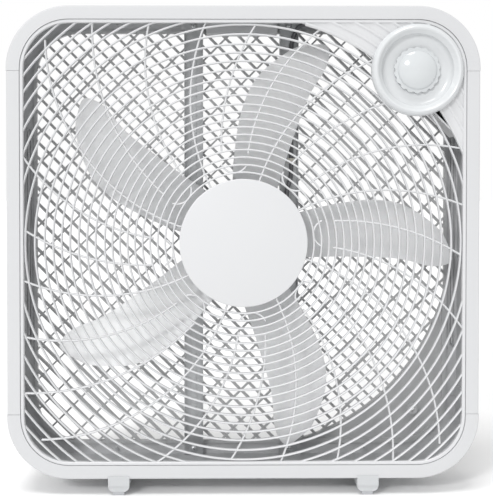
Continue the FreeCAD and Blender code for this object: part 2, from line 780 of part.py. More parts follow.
def rear_grille():
    slant = math.sqrt(0.5)
    reach = float(frame_width + frame_height) / 2
    across_count = int(reach / float(slat_pitch)) + 1
    along_count = int(reach / float(cross_pitch)) + 1
    cells = []
    for row in range(-across_count, across_count):
        low_u = row * float(slat_pitch) + float(slat_width) / 2
        high_u = (row + 1) * float(slat_pitch) - float(slat_width) / 2
        for column in range(-along_count, along_count):
            low_v = column * float(cross_pitch) + float(cross_width) / 2
            high_v = (column + 1) * float(cross_pitch) - float(cross_width) / 2
            if math.hypot((low_u + high_u) / 2, (low_v + high_v) / 2) > reach:
                continue
            corners = [((u + v) * slant, (u - v) * slant)
                       for u, v in ((low_u, low_v), (low_u, high_v), (high_u, high_v), (high_u, low_v))]
            cells.append(flat_face(corners))
    opening = flat_face(rounded(opening_width, opening_height, opening_radius))
    plate = flat_face([(0.0, 0.0), (frame_width, 0.0), (frame_width, -frame_height),
                       (0.0, -frame_height)]).cut(flat_disc(corner_plate_radius))
    middle = flat_disc(back_disc_radius)
    clear = Part.makeCompound(cells).common(opening).cut([plate, middle])
    rim = rounded(rim_out_width, rim_out_height, rim_out_radius)
    lattice_back = float(lattice_front + lattice_depth)
    shape = slab(pierced(rim, clear, 6.0), float(lattice_front), lattice_back)
    flange = flat_face(rounded(inside_width - panel_inset - play, inside_height - panel_inset - play,
                               corner_radius - wall - panel_inset - play))
    collar = flat_face(rim).cut(opening)
    shape = shape.fuse([
        slab(collar, lattice_back - 1, float(frame_depth)),
        slab(flange.cut(opening), float(rear_lip_back), float(frame_depth)),
    ])
    skin_front = lattice_back - float(back_skin)
    inset = rounded(opening_width - 2, opening_height - 2, opening_radius - 2)
    plate_hollow = plate.common(flat_face(inset)).cut(flat_disc(corner_plate_radius + 2))
    cuts = [slab(plate_hollow, float(lattice_front) - 1, skin_front),
            slab(flat_disc(back_disc_radius - 2), float(lattice_front) - 1, skin_front),
            slab(flat_disc(6.0, *inlet_place()), 0.0, float(frame_depth) + 1)]
    for across, up in rear_screw_places():
        cuts.append(slab(flat_disc(1.7, across, up), 0.0, float(frame_depth) + 1))
        cuts.append(slab(flat_disc(3.6, across, up), float(frame_depth) - 1.7, float(frame_depth) + 1))
    new_piece("rear_grille", shape.cut(cuts))


def inlet_place():
    """The mains inlet sits in the solid corner of the rear grille."""
    return opening_width - 38, 38 - opening_height


def rear_screw_places():
    side_spots = [(hand * (half_width - grille_screw_inset), up)
                  for hand in (-1, 1) for up in both(grille_screw_up)]
    end_spots = [(across, side * (half_height - grille_screw_inset))
                 for side in (-1, 1) for across in both(grille_screw_across)]
    return side_spots + end_spots


def rear_grille_screws():
    body = new_body("rear_grille_screws")
    places = rear_screw_places()
    pad(body, "heads", frame_depth, 1.7, *[circle(3.4, *place) for place in places])
    pad(body, "shanks", frame_depth - 1.7, 8.0, *[circle(1.5, *place) for place in places])


def cord_gland():
    """The bush that the mains cord would pass through."""
    body = new_body("cord_gland")
    across, up = inlet_place()
    back = lattice_front + lattice_depth
    pad(body, "barrel", back, 10.0, circle(5.9, across, up))
    pad(body, "flange", frame_depth, frame_depth - back, circle(9.0, across, up))
    pad(body, "snap_ring", back - back_skin - play, 2.0, circle(6.6, across, up))
    pocket(body, "bore", frame_depth + 1, 20.0, circle(inlet_radius, across, up))


# ---------------------------------------------------------------- dish, knob and switch

def control_bezel():
    """A raised ring round a bowl whose floor carries the switch."""
    body = new_body("control_bezel", across=dish_across, up=dish_up)
    floor_back = bowl_floor + bowl_wall
    outside = bowl_radius + bowl_wall
    turned(body, "profile", [
        (neck_radius + play, bowl_floor), (bowl_radius - 7, bowl_floor, -as_size(7)),
        (bowl_radius, bowl_floor - 7), (crest_radius - 3, 2 - dish_proud, 4),
        (crest_radius, -dish_proud, 9), (dish_radius, 0.0), (dish_radius, rib_front),
        (outside, rib_front), (outside, floor_back), (neck_radius + play, floor_back),
    ])
    pocket(body, "screw_pilots", rib_front + 1, 6.5, *[circle(1.55, *place) for place in dish_screw_places()])


def bezel_screws():
    body = new_body("bezel_screws", across=dish_across, up=dish_up)
    places = dish_screw_places()
    pad(body, "heads", panel_back + 1.6, 1.6, *[circle(2.6, *place) for place in places])
    pad(body, "shanks", panel_back, 7.0, *[circle(1.5, *place) for place in places])


def speed_knob():
    body = new_body("speed_knob", across=dish_across, up=dish_up)
    back = bowl_floor - knob_lift
    shoulder = knob_dome_radius - 1
    crown = 0.7 - dish_proud
    rise = -1.5 - crown
    dome = (shoulder * shoulder + rise * rise) / (2 * rise)
    turned(body, "profile", [
        (0.0, crown), (0.0, -5.0), (8.0, -5.0), (8.0, back), (knob_radius, back),
        (knob_radius, back - 3), (knob_dome_radius, back - 4), (shoulder, -1.5, -dome),
    ])
    flute = pocket(body, "flute", back + 1, 6.0, circle(3.0, knob_radius + 1.6, 0.0))
    around(body, "flutes", [flute], knob_flutes)
    pad(body, "boss", 1.0, 6.2, circle(6.2))
    pocket(body, "bore", 1.5, 6.2, circle(switch_shaft_radius + running_gap))


def switch_parts():
    body = new_body("switch_body", across=dish_across, up=dish_up)
    front = bowl_floor + bowl_wall
    pad(body, "case", front + switch_depth, switch_depth, centred(0.0, 0.0, switch_width, switch_width))
    pad(body, "neck", front, 5.3, circle(neck_radius))
    pad(body, "terminals", front + switch_depth + 4, 4.0,
        *[centred(as_size(across), as_size(up), as_size(0.8), as_size(5))
          for across in (-9, -3, 3, 9) for up in (-7, 7)])
    pocket(body, "bore", front + switch_depth - 2, 25.0, circle(switch_shaft_radius + running_gap))
    shaft = new_body("switch_shaft", across=dish_across, up=dish_up)
    pad(shaft, "rod", front + switch_depth - 4, switch_depth + front - 4 + 4.5, circle(switch_shaft_radius))
    nut = new_body("switch_nut", across=dish_across, up=dish_up)
    pad(nut, "hexagon", bowl_floor, 2.2, nut_outline(12.5), circle(neck_radius + running_gap))


def switch_cover():
    """The box behind the dish that shuts the wiring off from the blade."""
    body = new_body("switch_cover")
    pad(body, "block", panel_back + cover_depth, cover_depth, cover_outline(as_size(0)))
    pocket(body, "hollow", panel_back + cover_depth - cover_wall, cover_depth, cover_outline(cover_wall))
    seat_back = bowl_floor + bowl_wall + play
    pocket(body, "bowl_seat", seat_back, seat_back - panel_back + 1,
           circle(bowl_radius + bowl_wall + play, dish_across, dish_up))
    pocket(body, "lead_hole", dish_across - cover_reach - 6, 12.0,
           circle(lead_radius + 0.6, panel_back + cover_depth - 10, inside_height - 12),
           plane="YZ_Plane")


def run_capacitor():
    body = new_body("run_capacitor", across=dish_across - 43, up=inside_height - 16)
    back = panel_back + cover_depth - cover_wall
    pad(body, "case", back, 26.0, centred(0.0, 0.0, as_size(36), as_size(17)))
    pad(body, "tabs", back - 26, 4.0, *[centred(as_size(across), as_size(0), as_size(5), as_size(0.8))
                                        for across in (-9, 9)])


# ---------------------------------------------------------------- struts and motor

EAR_HEIGHT = as_size(25)
LEAD_HEIGHT = as_size(8)


def lead_depth():
    """How far back the lead runs where it turns into the motor, clear of the mounting screws."""
    return strut_front - lead_radius - 5


def strut(label, hand):
    body = new_body(label, across=hand * strut_place)
    half = strut_width / 2
    tip = inside_height - 0.5
    pad(body, "web", strut_back, sheet_metal, rectangle(-half, half, -tip, tip))
    long = inside_height - boss_height - 6
    outer = (half - sheet_metal, half) if hand > 0 else (-half, sheet_metal - half)
    inner = (-half, sheet_metal - half) if hand > 0 else (half - sheet_metal, half)
    pad(body, "flanges", strut_front, strut_flange, rectangle(*outer, -long, long),
        rectangle(*inner, EAR_HEIGHT + 20, long), rectangle(*inner, -long, -EAR_HEIGHT - 12))
    pad(body, "beads", strut_front, bead_height,
        *[centred(0.0, side * as_size(140), as_size(7), as_size(150)) for side in (-1, 1)])
    pocket(body, "screw_holes", strut_back + 1, sheet_metal + 2,
           *[circle(2.1, 0.0, height) for height in both(strut_screw_height)],
           *[circle(2.1, 0.0, height) for height in both(EAR_HEIGHT)])


def strut_screws():
    body = new_body("strut_screws")
    places = [(across, up) for across in both(strut_place) for up in both(strut_screw_height)]
    pad(body, "heads", strut_front, 2.2, *[circle(4.0, *place) for place in places])
    pad(body, "shanks", strut_front + 7, 7.0, *[circle(1.9, *place) for place in places])


def bolt_places():
    return [polar(motor_radius - 5, 45 + 90 * turn) for turn in range(4)]


def ear_places():
    return [(across, up) for across in both(strut_place) for up in both(EAR_HEIGHT)]


def motor_shells():
    stack_back = stack_front + stack_length
    front = new_body("motor_front_shell")
    pad(front, "cup", stack_front, 12.0, circle(motor_radius))
    pocket(front, "cavity", stack_front + 1, 11.0, circle(motor_radius - 2))
    pad(front, "boss", stack_front - 6, 11.0, circle(10.0))
    pad(front, "posts", stack_front, 12.0, *[circle(4.2, *place) for place in bolt_places()])
    pocket(front, "seat", stack_front + 1, 25.0, circle(7.02))
    pocket(front, "bolt_holes", stack_front + 1, 25.0, *[circle(2.05, *place) for place in bolt_places()])
    vents = [band(as_size(24), as_size(7), 45 * turn + 12, 45 * turn + 33, as_size(0), as_size(0))
             for turn in range(8)]
    pocket(front, "vents", stack_front - 9, 6.0, *vents)
    rear = new_body("motor_rear_shell")
    back = strut_front
    pad(rear, "cup", back, back - stack_back, circle(motor_radius))
    pocket(rear, "cavity", back - 2, back - stack_back, circle(motor_radius - 2))
    pad(rear, "ears", back, 2.0, *[rectangle(hand * 30, hand * (strut_place + 8), up - 7, up + 7)
                                   for hand in (-1, 1) for up in both(EAR_HEIGHT)])
    pad(rear, "boss", back + 3, 10.0, circle(10.0))
    pad(rear, "posts", back - 1, back - 1 - stack_back, *[circle(4.2, *place) for place in bolt_places()])
    pocket(rear, "seat", back + 4, 25.0, circle(7.02))
    pocket(rear, "bolt_holes", back + 4, 25.0, *[circle(2.05, *place) for place in bolt_places()],
           *[circle(2.1, *place) for place in ear_places()])
    pocket(rear, "vents", back + 1, 6.0, *vents)
    pocket(rear, "lead_hole", motor_radius - 6, 8.0, circle(lead_radius + 0.3, lead_depth(), LEAD_HEIGHT),
           plane="YZ_Plane")


def slot_outline(play_round):
    """One winding slot of the stator, opening towards the rotor through a narrow mouth."""
    wide = 6.5 - play_round
    inner = rotor_radius + 4 + play_round
    outer = motor_radius - 10 - play_round
    return [(inner, -wide * 0.7), (outer, -wide), (outer, wide), (inner, wide * 0.7)]


def stator():
    stack_back = stack_front + stack_length
    core = new_body("stator_core")
    pad(core, "ring", stack_back, stack_length, circle(motor_radius - 0.5), circle(rotor_radius + air_gap))
    slot = pocket(core, "slot", stack_back + 1, stack_length + 2, slot_outline(as_size(0)))
    around(core, "slots", [slot], as_size(8))
    pocket(core, "bolt_holes", stack_back + 1, stack_length + 2,
           *[circle(2.05, *place) for place in bolt_places()])
    windings = new_body("stator_windings")
    inner = rotor_radius + 4 + play
    outer = motor_radius - 10 - play
    pad(windings, "front_turns", stack_front - play, 7.0, circle(inner), circle(outer))
    pad(windings, "rear_turns", stack_back + 7 + play, 7.0, circle(inner), circle(outer))
    bar = pad(windings, "bar", stack_back + play, stack_length + 2 * play, slot_outline(play))
    around(windings, "bars", [bar], as_size(8))


def rotor():
    stack_back = stack_front + stack_length
    sleeve = (stack_front - 4.8, stack_back + 3.8)
    core = new_body("rotor_core")
    bore = shaft_radius + running_gap
    turned(core, "profile", [
        (bore, sleeve[0]), (7.0, sleeve[0]), (7.0, stack_front - 2.2), (14.0, stack_front - 2.2),
        (14.0, stack_front - 3.2), (rotor_radius - 1, stack_front - 3.2),
        (rotor_radius - 1, stack_front), (rotor_radius, stack_front), (rotor_radius, stack_back),
        (rotor_radius - 1, stack_back), (rotor_radius - 1, stack_back + 2.6),
        (14.0, stack_back + 2.6), (14.0, stack_back + 1.6), (7.0, stack_back + 1.6),
        (7.0, sleeve[1]), (bore, sleeve[1]),
    ])
    washers = new_body("thrust_washers")
    for name, start in (("front", stack_front - 4.8), ("rear", stack_back + 4.8)):
        pad(washers, name, start, 1.0, circle(6.5), circle(bore))
    shaft = new_body("motor_shaft")
    shoulder = hub_front + 3
    turned(shaft, "profile", [
        (0.0, hub_front - 7), (2.97, hub_front - 7), (2.97, shoulder), (shaft_radius, shoulder),
        (shaft_radius, strut_back + 1), (0.0, strut_back + 1),
    ])
    for label, start in (("front_bush", stack_front - 6), ("rear_bush", stack_back + 14)):
        bush = new_body(label)
        pad(bush, "sleeve", start, 9.0 if label == "front_bush" else 8.8, circle(7.0), circle(bore))


def motor_fasteners():
    bolts = new_body("motor_through_bolts")
    pad(bolts, "heads", stack_front - 12, 2.6, *[circle(3.6, *place) for place in bolt_places()])
    pad(bolts, "shanks", strut_front + 2.6, strut_front + 2.6 - stack_front + 12,
        *[circle(2.0, *place) for place in bolt_places()])
    nuts = new_body("motor_nuts")
    for index, place in enumerate(bolt_places()):
        pad(nuts, f"nut_{index}", strut_front + 2.4, 2.4, nut_outline(as_size(7), *place),
            circle(2.04, *place))
    screws = new_body("motor_mount_screws")
    pad(screws, "heads", strut_front - 2, 2.2, *[circle(3.6, *place) for place in ear_places()])
    pad(screws, "shanks", strut_back + 2.8, sheet_metal + 4.8,
        *[circle(2.0, *place) for place in ear_places()])
    mount_nuts = new_body("motor_mount_nuts")
    for index, place in enumerate(ear_places()):
        pad(mount_nuts, f"nut_{index}", strut_back + 2.6, 2.6, nut_outline(as_size(7), *place),
            circle(2.04, *place))


# ---------------------------------------------------------------- blade

# The blade's outline seen from the front: how far out as a share of the tip radius, and the
# angle from its leading edge. Its leading edge trails behind, its other edge sweeps forward.
LEADING_EDGE = ((0.2, -15.0), (0.3, -9.5), (0.42, -4.0), (0.585, -0.9), (0.8, 0.0), (0.955, -0.2))
TIP = ((0.997, 1.6),)
TRAILING_EDGE = ((0.985, 4.2), (0.94, 9.4), (0.875, 13.6), (0.76, 20.2), (0.585, 26.2), (0.42, 30.4),
                 (0.3, 34.2), (0.2, 38.0))
BLADE_SECTIONS = ((0.16, 42.0), (0.4, 31.0), (0.65, 24.0), (0.87, 18.0), (1.02, 14.5))
BLADE_TURN = 64.7


def blade_skin(share, pitch, side):
    """Three points of one face of the blade's curved section at a share of the tip radius."""
    out = share * float(tip_radius)
    slope = math.tan(math.radians(pitch))
    skin = side * float(blade_thickness) / 2 / math.cos(math.radians(pitch))
    points = []
    for across in (-62.0, 0.0, 62.0):
        hollow = 6.0 if across == 0.0 else 0.0
        points.append(FreeCAD.Vector(out, float(blade_middle) - across * slope + hollow + skin, across))
    return points


def one_blade():
    sections = []
    for share, pitch in BLADE_SECTIONS:
        front = blade_skin(share, pitch, -1)
        back = blade_skin(share, pitch, 1)
        edges = [Part.Arc(*front).toShape(), Part.makeLine(front[2], back[2]),
                 Part.Arc(*reversed(back)).toShape(), Part.makeLine(back[0], front[0])]
        sections.append(Part.Wire(edges))
    slab_shape = Part.makeLoft(sections, True, False)
    outline = []
    for share, turn in LEADING_EDGE + TIP + TRAILING_EDGE:
        across, up = polar(share * float(tip_radius), turn - 10.0)
        outline.append(spot(across, up))
    edge = Part.BSplineCurve()
    edge.interpolate(outline)
    face = Part.Face(Part.Wire([edge.toShape(), Part.makeLine(outline[-1], outline[0])]))
    return slab_shape.common(slab(face, 0.0, float(frame_depth)))


def fan_blade():
    front, back = float(hub_front), float(hub_back)
    hub = Part.makeCylinder(float(hub_radius), back - front, spot(0, 0, front), spot(0, 0, 1))
    hollow = Part.makeCylinder(float(hub_radius) - 2.5, back - front, spot(0, 0, front + 3), spot(0, 0, 1))
    boss = Part.makeCylinder(9.0, 16.0, spot(0, 0, front), spot(0, 0, 1))
    bore = Part.makeCylinder(float(shaft_radius + running_gap), 20.0, spot(0, 0, front + 3), spot(0, 0, 1))
    nose = Part.makeCylinder(3.03, 5.0, spot(0, 0, front - 1), spot(0, 0, 1))
    blades = []
    blade = one_blade().cut(hollow)
    for index in range(int(float(blade_count))):
        turned_blade = blade.copy()
        turned_blade.rotate(FreeCAD.Vector(), FreeCAD.Vector(0, -1, 0),
                            BLADE_TURN + 10.0 + 360.0 * index / float(blade_count))
        blades.append(turned_blade)
    new_piece("fan_blade", hub.cut(hollow).fuse([boss] + blades).cut([bore, nose]))
    nut = new_body("blade_nut")
    turned(nut, "profile", [(0.0, hub_front - 9), (5.0, hub_front - 9, 4), (9.0, hub_front - 5),
                            (9.0, hub_front), (3.02, hub_front), (3.02, hub_front - 7.5),
                            (0.0, hub_front - 7.5)])


# ---------------------------------------------------------------- motor lead

def lead_route():
    """The lead's corners: out of the switch cover, along the top wall, down the right strut."""
    high = inside_height - 6.5
    level = strut_front - lead_radius - 1.0
    start = panel_back + cover_depth - 10
    side = dish_across - cover_reach + 10
    into = lead_depth()
    return [spot(side, inside_height - 12, start), spot(side - 22, inside_height - 12, start),
            spot(side - 40, high, level - 4), spot(strut_place + 12, high, level - 2),
            spot(strut_place + 3, high - 20, level), spot(strut_place + 3, EAR_HEIGHT + 50, level),
            spot(strut_place - 3, EAR_HEIGHT + 30, into), spot(strut_place - 3, LEAD_HEIGHT, into),
            spot(motor_radius - 5, LEAD_HEIGHT, into)]


def rounded_path(points):
    """Straight runs from point to point with an arc in place of each corner."""
    edges = []
    last = points[0]
    for before, corner, after in zip(points, points[1:], points[2:]):
        into = (corner - before).normalize()
        out = (after - corner).normalize()
        cut = 0.4 * min((corner - before).Length, (after - corner).Length)
        start = corner - into * cut
        end = corner + out * cut
        radius = cut / math.tan(into.getAngle(out) / 2)
        chord_middle = (start + end) / 2
        height = radius - math.sqrt(max(radius ** 2 - (end - start).Length ** 2 / 4, 0))
        middle = chord_middle + (corner - chord_middle).normalize() * height
        edges.append(Part.LineSegment(last, start).toShape())
        edges.append(Part.Arc(start, middle, end).toShape())
        last = end
    edges.append(Part.LineSegment(last, points[-1]).toShape())
    return Part.Wire(edges)


def motor_lead():
    points = lead_route()
    end = Part.Circle(points[0], points[1] - points[0], float(lead_radius))
    new_piece("motor_lead", rounded_path(points).makePipeShell([Part.Wire([end.toShape()])], True, True))


def lead_clips():
    """Two plastic clips that hold the lead in the strut's channel."""
    body = new_body("lead_clips", across=strut_place + 3)
    middle = strut_front - lead_radius - 1.0
    for index, height in enumerate((90, 190)):
        pad(body, f"block_{index}", height, 6.0,
            rectangle(as_size(-4.5), as_size(4.5), middle - 4.5, strut_front - bead_height), plane="XY_Plane")
    pocket(body, "bores", as_size(80), 130.0, circle(lead_radius + 0.05, 0.0, middle), plane="XY_Plane")


# ---------------------------------------------------------------- make everything

def fault_in(piece):
    """What is wrong with a finished piece, or nothing."""
    for step in [piece] + list(getattr(piece, "Group", [])):
        if {"Invalid", "Error"} & set(step.State):
            return f"{step.Name} did not compute"
        base = getattr(step, "BaseFeature", None)
        if step.TypeId == "PartDesign::Pocket" and step.Shape.Volume >= base.Shape.Volume:
            return f"{step.Name} cut nothing"
    if piece.Shape.isNull() or not piece.Shape.Solids or not piece.Shape.isValid():
        return f"{piece.Label} has no valid solid"
    return None


top_cap()
bottom_cap()
side_panel("left_side_panel", -1)
side_panel("right_side_panel", 1)
carry_handle()
foot("left_foot", -foot_place)
foot("right_foot", foot_place)
foot_pads()
foot_screws()
joint_screws()
front_grille()
rear_grille()
rear_grille_screws()
cord_gland()
control_bezel()
bezel_screws()
speed_knob()
switch_parts()
switch_cover()
run_capacitor()
strut("left_strut", -1)
strut("right_strut", 1)
strut_screws()
motor_shells()
stator()
rotor()
motor_fasteners()
fan_blade()
motor_lead()
lead_clips()
doc.recompute()

pieces = [item for item in doc.Objects
          if item.isDerivedFrom("PartDesign::Body") or item.TypeId == "Part::Feature"]
faults = [fault for fault in map(fault_in, pieces) if fault]
if faults:
    raise RuntimeError("; ".join(faults))
os.makedirs("parts", exist_ok=True)
for piece in pieces:
    piece.Shape.exportStep(f"parts/{piece.Label}.step")
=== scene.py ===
import math
import bmesh
import bpy
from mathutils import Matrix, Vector


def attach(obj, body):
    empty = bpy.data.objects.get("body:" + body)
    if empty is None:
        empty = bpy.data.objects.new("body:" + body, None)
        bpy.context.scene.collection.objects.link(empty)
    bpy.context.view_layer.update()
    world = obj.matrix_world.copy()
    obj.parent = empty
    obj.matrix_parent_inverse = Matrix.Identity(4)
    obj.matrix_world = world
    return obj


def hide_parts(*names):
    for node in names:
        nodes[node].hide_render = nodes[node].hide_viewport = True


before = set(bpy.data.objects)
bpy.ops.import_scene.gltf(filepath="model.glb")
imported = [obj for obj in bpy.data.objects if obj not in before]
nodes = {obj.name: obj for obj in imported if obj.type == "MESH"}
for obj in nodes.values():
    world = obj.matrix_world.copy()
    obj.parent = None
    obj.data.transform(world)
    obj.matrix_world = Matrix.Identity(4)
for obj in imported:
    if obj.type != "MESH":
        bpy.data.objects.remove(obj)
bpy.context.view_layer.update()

# ---------------------------------------------------------------- housing
# Four injection moulded shells of white polystyrene: two caps and two side panels between
# them. The mould leaves a satin skin with a fine pebble, and every outer edge is eased.

CABINET_WHITE = (0.56, 0.565, 0.575)
CABINET_ROUGHNESS = 0.42
SEAM_EASE = 0.0005


class Flow:
    """A value on its way through a tree of nodes, so that masks and sizes read as sums."""

    def __init__(self, socket):
        self.socket = socket

    def node(self, kind, sockets, settings=None, out=0):
        """Adds any node: its settings first, then a value or another flow for each socket."""
        tree = self.socket.id_data
        made = tree.nodes.new(kind)
        for name, value in (settings or {}).items():
            setattr(made, name, value)
        for name, value in sockets.items():
            if isinstance(value, Flow):
                tree.links.new(value.socket, made.inputs[name])
            else:
                made.inputs[name].default_value = value
        return Flow(made.outputs[out])

    def maths(self, operation, *values):
        return self.node("ShaderNodeMath", dict(enumerate(values)), {"operation": operation})

    def __add__(self, other):
        return self.maths("ADD", self, other)

    def __mul__(self, other):
        return self.maths("MULTIPLY", self, other)

    def __sub__(self, other):
        return self.maths("SUBTRACT", self, other)

    def __rsub__(self, other):
        return self.maths("SUBTRACT", other, self)

    def __gt__(self, other):
        return self.maths("GREATER_THAN", self, other)

    def mixed(self, low, high):
        """The colour between two, by this flow."""
        pair = {0: self, 6: (*low, 1.0), 7: (*high, 1.0)}
        return self.node("ShaderNodeMix", pair, {"data_type": "RGBA"}, out=2)


def new_finish(name, **constants):
    """A material, its shader, and the place in metres of each point of the piece."""
    material = bpy.data.materials.new(name)
    material.use_nodes = True
    shader = material.node_tree.nodes["Principled BSDF"]
    for socket, value in constants.items():
        shader.inputs[socket.replace("_", " ")].default_value = value
    coordinates = material.node_tree.nodes.new("ShaderNodeTexCoord")
    return material, shader, Flow(coordinates.outputs["Object"])


def feed(shader, socket, flow):
    flow.socket.id_data.links.new(flow.socket, shader.inputs[socket])


def noise(place, scale, detail=2.0):
    return place.node("ShaderNodeTexNoise", {"Vector": place, "Scale": scale, "Detail": detail})


def moulded(name, colour, roughness, pebble=1500.0, depth=0.00005, tint=0.02, **constants):
    """Moulded plastic: faint flow clouds in its colour and gloss, and a pebbled skin."""
    material, shader, place = new_finish(name, IOR=1.52, **constants)
    cloud = noise(place, 11.0, 3.0)
    dull = tuple(channel * (1 - tint) for channel in colour)
    feed(shader, "Base Color", cloud.mixed(dull, colour))
    feed(shader, "Roughness", cloud * 0.08 + (roughness - 0.04))
    skin = {"Height": noise(place, pebble), "Strength": 0.35, "Distance": depth}
    feed(shader, "Normal", place.node("ShaderNodeBump", skin))
    return material


def own(piece, body, slot, *stands_for):
    """Puts a finished piece on its body and hides the CAD parts it stands for; slot is not used."""
    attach(piece, body)
    if stands_for:
        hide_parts(*stands_for)
    return piece


def softened(node, name, material, body, slot, ease, corner=35.0):
    """The shape of a CAD piece with its corners eased as a mould or a press leaves them."""
    mesh = nodes[node].data.copy()
    mesh.name = name
    work = bmesh.new()
    work.from_mesh(mesh)
    bmesh.ops.remove_doubles(work, verts=work.verts, dist=1e-6)
    for face in work.faces:
        face.smooth = True
    for edge in work.edges:
        edge.smooth = edge.calc_face_angle(math.pi) < math.radians(corner)
    work.to_mesh(mesh)
    work.free()
    mesh.materials.clear()
    mesh.materials.append(material)
    piece = bpy.data.objects.new(name, mesh)
    bpy.context.scene.collection.objects.link(piece)
    if ease:
        bevel = piece.modifiers.new("eased_edges", "BEVEL")
        bevel.width = ease
        bevel.segments = 2
        bevel.limit_method = "ANGLE"
        bevel.angle_limit = math.radians(corner)
        bevel.harden_normals = True
    return own(piece, body, slot, node)


cabinet_plastic = moulded("cabinet_plastic", CABINET_WHITE, CABINET_ROUGHNESS)
for shell in ("top_cap", "bottom_cap", "left_side_panel", "right_side_panel"):
    softened(shell, f"{shell}_moulding", cabinet_plastic, "cabinet", "cabinet_white", SEAM_EASE)
softened("carry_handle", "carry_handle_tub", cabinet_plastic, "cabinet", "cabinet_white", SEAM_EASE)
softened("switch_cover", "switch_cover_box", cabinet_plastic, "cabinet", "cabinet_white", 0.0)

# ---------------------------------------------------------------- front grille
# One white polypropylene moulding: thin rings and spiral ribs with rounded fronts, a plain
# disc over the hub, a solid corner with fine raised ridges for the dish, and a rim all round
# that sits inside the housing's lip and is held by the lugs behind it.

GRILLE_WHITE = (0.60, 0.605, 0.615)
FRONT_LIP, FAN_AXIS = -0.050, 0.2838
WIRE_FRONT, WIRE_BACK, RIB_FRONT = 0.0024, 0.0082, 0.0032
WIRE_WIDTH, RIB_WIDTH = 0.0020, 0.0022
OPENING_HALF, OPENING_ROUND = 0.2490, 0.0540
# Each set of rings: the first radius, the pitch, how many, and the facets of each.
RING_SETS = ((0.0793, 0.00846, 10, 300), (0.1658, 0.00947, 7, 360), (0.2336, 0.01082, 9, 480))
# Each arc: its radius, start and sweep in degrees, and its centre's distance and direction.
RIB_ARCS = ((0.2248, 46.0, 70.5, 0.2307, -45.8), (0.2483, 38.0, 54.4, 0.2497, -63.5),
            (0.2134, 20.0, 61.9, 0.2277, -72.0), (0.0156, 113.0, 134.0, 0.0948, 6.3))
RIB_REPEATS = 8
RIM_HALF, RIM_ROUND, DISC_FACETS = 0.2497, 0.0547, 128
PANEL_LEFT, PANEL_LOW, PANEL_RING, PANEL_STEP_RING = 0.0690, 0.1022, 0.2555, 0.2664
PANEL_STEP_SLOPE = math.tan(math.radians(36.0))
DISH_PLACE, DISH_HOLE = (0.1942, 0.1935), 0.0455


def new_tree(name, sizes):
    """A geometry tree with a named input for each size, and a flow for each of them."""
    tree = bpy.data.node_groups.new(name, "GeometryNodeTree")
    tree.interface.new_socket("Geometry", in_out="INPUT", socket_type="NodeSocketGeometry")
    for label, value in sizes.items():
        kinds = {int: "NodeSocketInt", float: "NodeSocketFloat"}
        kind = kinds.get(type(value), "NodeSocketMaterial")
        tree.interface.new_socket(label, in_out="INPUT", socket_type=kind)
    tree.interface.new_socket("Geometry", in_out="OUTPUT", socket_type="NodeSocketGeometry")
    entry = tree.nodes.new("NodeGroupInput")
    return tree, {socket.name: Flow(socket) for socket in entry.outputs if socket.name}


def close_tree(tree, shape, material):
    """Realize Instances and Set Material, which every tree ends in."""
    real = shape.node("GeometryNodeRealizeInstances", {"Geometry": shape})
    done = real.node("GeometryNodeSetMaterial", {"Geometry": real, "Material": material})
    tree.links.new(done.socket, tree.nodes.new("NodeGroupOutput").inputs[0])


def baked(name, tree, sizes, points=()):
    """The plain mesh that a tree makes from these sizes, starting from loose points."""
    seed = bpy.data.meshes.new(f"{name}_seed")
    seed.from_pydata(list(points), [], [])
    maker = bpy.data.objects.new(f"{name}_maker", seed)
    bpy.context.scene.collection.objects.link(maker)
    modifier = maker.modifiers.new("make", "NODES")
    modifier.node_group = tree
    for item in tree.interface.items_tree:
        if item.in_out == "INPUT" and item.name in sizes:
            modifier[item.identifier] = sizes[item.name]
    seen = maker.evaluated_get(bpy.context.evaluated_depsgraph_get())
    mesh = bpy.data.meshes.new_from_object(seen)
    mesh.name = name
    bpy.data.objects.remove(maker)
    return mesh


def joined(name, meshes, material):
    """One object of several meshes, at the origin, with outward faces."""
    work = bmesh.new()
    for mesh in meshes:
        work.from_mesh(mesh)
    mesh = bpy.data.meshes.new(name)
    work.to_mesh(mesh)
    work.free()
    mesh.materials.append(material)
    piece = bpy.data.objects.new(name, mesh)
    bpy.context.scene.collection.objects.link(piece)
    return piece


def overshoot(axis, straight):
    past = axis.maths("ABSOLUTE", axis) - straight
    return past.maths("MAXIMUM", past, 0.0)


